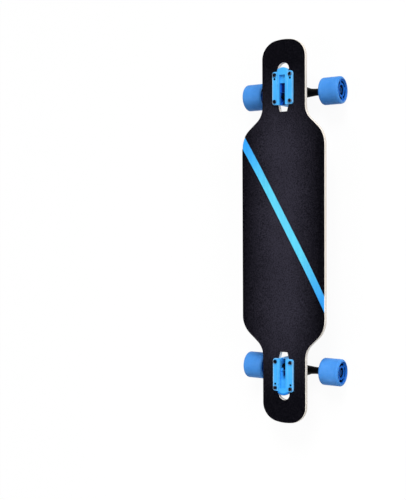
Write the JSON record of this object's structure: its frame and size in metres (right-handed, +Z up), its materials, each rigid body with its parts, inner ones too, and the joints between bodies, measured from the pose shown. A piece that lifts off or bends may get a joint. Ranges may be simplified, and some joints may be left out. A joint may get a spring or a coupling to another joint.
{
  "type": "longboard skateboard",
  "caption": "Drop-through longboard: narrow-necked concave deck with grip tape split by a diagonal stripe, slotted-in reverse-kingpin trucks and wide urethane wheels on ball bearings.",
  "frame": {"origin": "on the ground under the middle of the deck", "axes": "+X to the nose, +Y to the rider's left when facing the nose, +Z up"},
  "size_m": [0.9218, 0.2574, 0.0971],
  "materials": {
    "deck_ply": "maple plies, dark stained with a gloss clear coat",
    "grip_tape": "grit-coated sheet",
    "baseplate_metal": "light blue powder coat",
    "hanger_metal": "black powder coat",
    "axle_steel": "plain steel",
    "bolt_steel": "black oxide",
    "nut_steel": "black oxide",
    "washer_steel": "zinc plated",
    "bearing_steel": "polished",
    "shield_steel": "dark shields",
    "cage_brass": "pressed",
    "bushing_urethane": "cast urethane",
    "cup_plastic": "moulded",
    "wheel_urethane": "cast urethane, satin",
    "core_plastic": "moulded"
  },
  "bodies": {
    "board": {"deck": "deck_ply", "grip_tape_front": "grip_tape", "grip_tape_rear": "grip_tape", "front_baseplate": "baseplate_metal", "front_pivot_cup": "cup_plastic", "front_kingpin": "bolt_steel", "front_kingpin_nut": "nut_steel", "front_boardside_bushing": "bushing_urethane", "front_roadside_bushing": "bushing_urethane", "front_bushing_washers": "washer_steel", "front_mounting_bolts": "bolt_steel", "front_mounting_nuts": "nut_steel", "rear_baseplate": "baseplate_metal", "rear_pivot_cup": "cup_plastic", "rear_kingpin": "bolt_steel", "rear_kingpin_nut": "nut_steel", "rear_boardside_bushing": "bushing_urethane", "rear_roadside_bushing": "bushing_urethane", "rear_bushing_washers": "washer_steel", "rear_mounting_bolts": "bolt_steel", "rear_mounting_nuts": "nut_steel"},
    "front_truck": {"front_hanger": "hanger_metal", "front_axle": "axle_steel", "front_speed_rings": "washer_steel", "front_axle_nuts": "nut_steel", "front_bearing_inner_rings": "bearing_steel", "front_bearing_spacers": "axle_steel"},
    "front_left_wheel": {"front_left_tyre": "wheel_urethane", "front_left_core": "core_plastic", "front_left_bearing_outer_rings": "bearing_steel", "front_left_bearing_shields": "shield_steel"},
    "front_left_ball_sets": {"front_left_bearing_balls": "bearing_steel", "front_left_bearing_cages": "cage_brass"},
    "front_right_wheel": {"front_right_tyre": "wheel_urethane", "front_right_core": "core_plastic", "front_right_bearing_outer_rings": "bearing_steel", "front_right_bearing_shields": "shield_steel"},
    "front_right_ball_sets": {"front_right_bearing_balls": "bearing_steel", "front_right_bearing_cages": "cage_brass"},
    "rear_truck": {"rear_hanger": "hanger_metal", "rear_axle": "axle_steel", "rear_speed_rings": "washer_steel", "rear_axle_nuts": "nut_steel", "rear_bearing_inner_rings": "bearing_steel", "rear_bearing_spacers": "axle_steel"},
    "rear_left_wheel": {"rear_left_tyre": "wheel_urethane", "rear_left_core": "core_plastic", "rear_left_bearing_outer_rings": "bearing_steel", "rear_left_bearing_shields": "shield_steel"},
    "rear_left_ball_sets": {"rear_left_bearing_balls": "bearing_steel", "rear_left_bearing_cages": "cage_brass"},
    "rear_right_wheel": {"rear_right_tyre": "wheel_urethane", "rear_right_core": "core_plastic", "rear_right_bearing_outer_rings": "bearing_steel", "rear_right_bearing_shields": "shield_steel"},
    "rear_right_ball_sets": {"rear_right_bearing_balls": "bearing_steel", "rear_right_bearing_cages": "cage_brass"}
  },
  "joints": [
    {"name": "front_steer", "type": "hinge", "parent": "board", "child": "front_truck", "pos_m": [0.32681, 0, 0.04021], "axis": [0.6428, 0, 0.766], "range_deg": [-15, 15], "stiffness_Nm_per_rad": 60, "deforming": ["front_boardside_bushing", "front_roadside_bushing"]},
    {"name": "front_left_spin", "type": "hinge", "parent": "front_truck", "child": "front_left_wheel", "pos_m": [0.336, 0.1032, 0.0325], "axis": [0, 1, 0], "continuous": true},
    {"name": "front_left_ball_run", "type": "hinge", "parent": "front_truck", "child": "front_left_ball_sets", "pos_m": [0.336, 0.1032, 0.0325], "axis": [0, 1, 0], "continuous": true},
    {"name": "front_right_spin", "type": "hinge", "parent": "front_truck", "child": "front_right_wheel", "pos_m": [0.336, -0.1032, 0.0325], "axis": [0, 1, 0], "continuous": true},
    {"name": "front_right_ball_run", "type": "hinge", "parent": "front_truck", "child": "front_right_ball_sets", "pos_m": [0.336, -0.1032, 0.0325], "axis": [0, 1, 0], "continuous": true},
    {"name": "rear_steer", "type": "hinge", "parent": "board", "child": "rear_truck", "pos_m": [-0.32681, 0, 0.04021], "axis": [-0.6428, 0, 0.766], "range_deg": [-15, 15], "stiffness_Nm_per_rad": 60, "deforming": ["rear_boardside_bushing", "rear_roadside_bushing"]},
    {"name": "rear_left_spin", "type": "hinge", "parent": "rear_truck", "child": "rear_left_wheel", "pos_m": [-0.336, 0.1032, 0.0325], "axis": [0, 1, 0], "continuous": true},
    {"name": "rear_left_ball_run", "type": "hinge", "parent": "rear_truck", "child": "rear_left_ball_sets", "pos_m": [-0.336, 0.1032, 0.0325], "axis": [0, 1, 0], "continuous": true},
    {"name": "rear_right_spin", "type": "hinge", "parent": "rear_truck", "child": "rear_right_wheel", "pos_m": [-0.336, -0.1032, 0.0325], "axis": [0, 1, 0], "continuous": true},
    {"name": "rear_right_ball_run", "type": "hinge", "parent": "rear_truck", "child": "rear_right_ball_sets", "pos_m": [-0.336, -0.1032, 0.0325], "axis": [0, 1, 0], "continuous": true}
  ],
  "couplings": [
    {"joint": "front_left_ball_run", "follows": "front_left_spin", "ratio": 0.632},
    {"joint": "front_right_ball_run", "follows": "front_right_spin", "ratio": 0.632},
    {"joint": "rear_left_ball_run", "follows": "rear_left_spin", "ratio": 0.632},
    {"joint": "rear_right_ball_run", "follows": "rear_right_spin", "ratio": 0.632}
  ]
}
